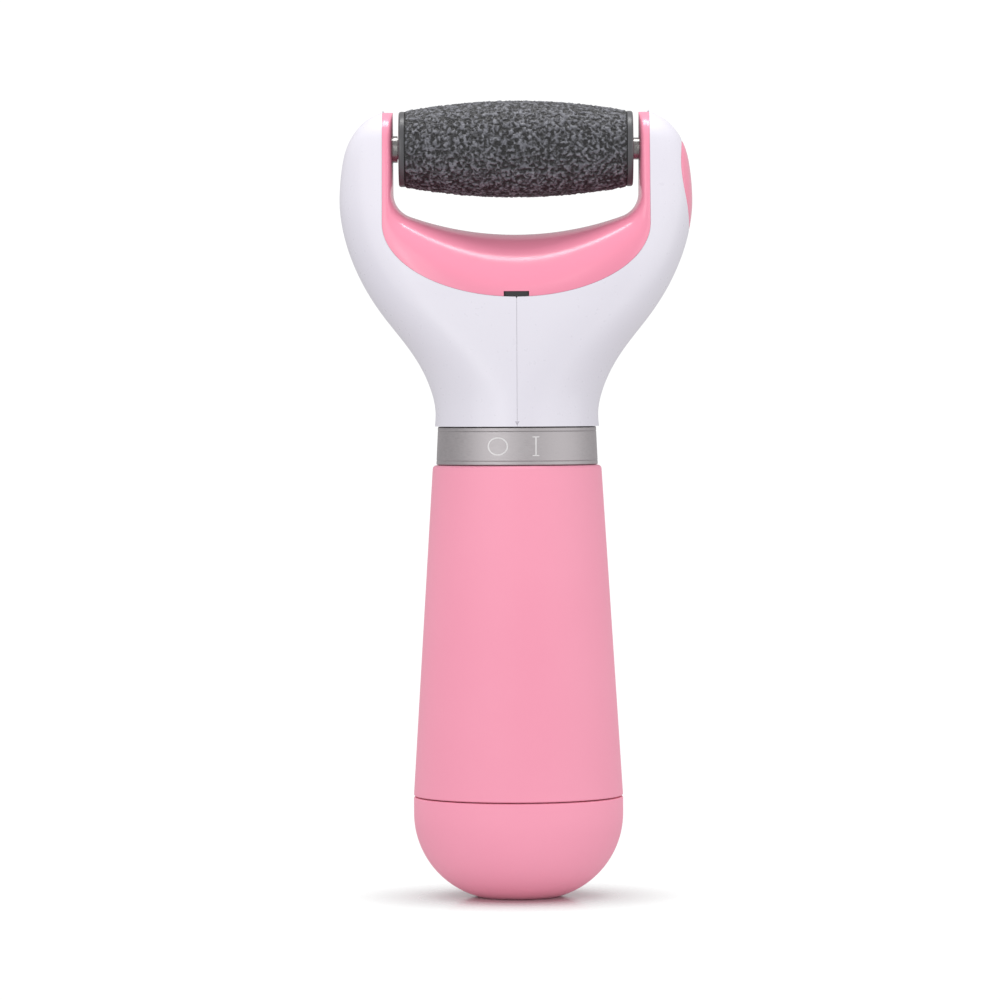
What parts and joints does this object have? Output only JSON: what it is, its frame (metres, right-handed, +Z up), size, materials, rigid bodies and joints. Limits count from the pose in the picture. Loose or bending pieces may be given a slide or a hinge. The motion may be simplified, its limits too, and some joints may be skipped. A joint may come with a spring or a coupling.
{
  "type": "electric callus remover",
  "caption": "Battery-powered electric callus remover: tapered handle with a twist switch ring and a forked head carrying a driven, removable abrasive roller.",
  "frame": {"origin": "centre of the flat base under the battery cap", "axes": "+Z up the handle towards the roller, X along the roller axis with the release button on +X, the switch marks face -Y"},
  "size_m": [0.0816, 0.0484, 0.1843],
  "materials": {
    "pink_plastic": "fine matt moulded",
    "pink_gloss": "glossy moulded",
    "white_plastic": "satin gloss moulded",
    "brushed_ring": "turned, finely brushed",
    "grit": "dark mineral grit bonded to a plastic sleeve",
    "roller_plastic": "moulded grey",
    "pin_steel": "ground",
    "spring_steel": "plated",
    "gear_plastic": "natural acetal",
    "brass": "turned",
    "motor_steel": "zinc plated",
    "plate_steel": "stamped",
    "dark_plastic": "moulded black",
    "magnet": "sintered ferrite",
    "board": "circuit board",
    "rubber": "seal",
    "battery_can": "plain sleeved cell"
  },
  "bodies": {
    "housing": {"handle_shell": "pink_plastic", "cap_seal": "rubber", "battery_holder": "dark_plastic", "battery_1": "battery_can", "battery_2": "battery_can", "battery_3": "battery_can", "battery_4": "battery_can", "top_contacts": "spring_steel", "neck_sleeve": "dark_plastic", "switch_board": "board", "slide_switch_case": "dark_plastic", "head_shell_left": "white_plastic", "head_shell_right": "white_plastic", "cradle_liner": "pink_gloss", "liner_catch": "dark_plastic", "gear_plate": "plate_steel", "idler_pins": "pin_steel", "spindle_bush": "brass", "motor_can": "motor_steel", "motor_end_cap": "dark_plastic", "motor_terminals": "brass", "motor_magnets": "magnet", "motor_front_plate": "plate_steel", "motor_screws": "pin_steel", "motor_cradle": "dark_plastic", "pin_bush": "brass", "lever_brackets": "plate_steel", "lever_pivot": "pin_steel"},
    "battery_cap": {"bottom_cap": "pink_plastic", "cap_contact_plate": "board", "cap_plate_screw": "pin_steel", "cap_bridges": "spring_steel", "cell_springs": "spring_steel"},
    "switch_ring": {"switch_ring": "brushed_ring"},
    "switch_slider": {"slide_switch_slider": "dark_plastic"},
    "roller": {"abrasive_sleeve": "grit", "roller_core": "roller_plastic", "roller_cap_left": "roller_plastic", "roller_cap_right": "roller_plastic", "drive_spindle": "pin_steel", "drive_gear": "gear_plastic"},
    "upper_idler": {"upper_idler_gear": "gear_plastic"},
    "lower_idler": {"lower_idler_gear": "gear_plastic"},
    "layshaft": {"layshaft": "pin_steel", "layshaft_wheel": "gear_plastic", "layshaft_pinion": "gear_plastic"},
    "motor_rotor": {"motor_shaft": "pin_steel", "motor_pinion": "brass", "armature": "motor_steel"},
    "release_button": {"release_button": "pink_gloss"},
    "release_lever": {"release_lever": "dark_plastic"},
    "retaining_pin": {"retaining_pin": "pin_steel", "pin_spring": "spring_steel"}
  },
  "joints": [
    {"name": "battery_cap_pull", "type": "slide", "parent": "housing", "child": "battery_cap", "axis": [0, 0, -1], "range_m": [0, 0.03]},
    {"name": "switch_ring_turn", "type": "hinge", "parent": "housing", "child": "switch_ring", "pos_m": [0, 0, 0.1045], "axis": [0, 0, 1], "range_deg": [-13.5, 13.5]},
    {"name": "switch_slider_slide", "type": "slide", "parent": "housing", "child": "switch_slider", "axis": [1, 0, 0], "range_m": [-0.0031, 0.0031]},
    {"name": "roller_spin", "type": "hinge", "parent": "housing", "child": "roller", "pos_m": [0, 0, 0.1731], "axis": [1, 0, 0], "continuous": true},
    {"name": "upper_idler_spin", "type": "hinge", "parent": "housing", "child": "upper_idler", "pos_m": [-0.0322, 0, 0.16385], "axis": [1, 0, 0], "continuous": true},
    {"name": "lower_idler_spin", "type": "hinge", "parent": "housing", "child": "lower_idler", "pos_m": [-0.0322, 0, 0.1541], "axis": [1, 0, 0], "continuous": true},
    {"name": "layshaft_spin", "type": "hinge", "parent": "housing", "child": "layshaft", "pos_m": [-0.025, 0, 0.1461], "axis": [1, 0, 0], "continuous": true},
    {"name": "motor_spin", "type": "hinge", "parent": "housing", "child": "motor_rotor", "pos_m": [0, 0, 0.1391], "axis": [1, 0, 0], "continuous": true},
    {"name": "release_button_press", "type": "slide", "parent": "housing", "child": "release_button", "axis": [-1, 0, 0], "range_m": [0, 0.001], "stiffness_N_per_m": 900, "springref_m": -0.0015},
    {"name": "release_lever_turn", "type": "hinge", "parent": "housing", "child": "release_lever", "pos_m": [0.0326, 0, 0.167], "axis": [0, 1, 0], "range_deg": [0, 10.62]},
    {"name": "retaining_pin_slide", "type": "slide", "parent": "housing", "child": "retaining_pin", "axis": [1, 0, 0], "range_m": [0, 0.00121], "deforming": ["pin_spring"]}
  ],
  "couplings": [
    {"joint": "switch_slider_slide", "follows": "switch_ring_turn", "m_per_rad": -0.013},
    {"joint": "upper_idler_spin", "follows": "roller_spin", "ratio": -0.94737},
    {"joint": "lower_idler_spin", "follows": "roller_spin", "ratio": 0.9},
    {"joint": "layshaft_spin", "follows": "roller_spin", "ratio": -1.5},
    {"joint": "motor_spin", "follows": "roller_spin", "ratio": 2.7},
    {"joint": "release_lever_turn", "follows": "release_button_press", "rad_per_m": 181.82},
    {"joint": "retaining_pin_slide", "follows": "release_button_press", "ratio": 1.1091}
  ]
}
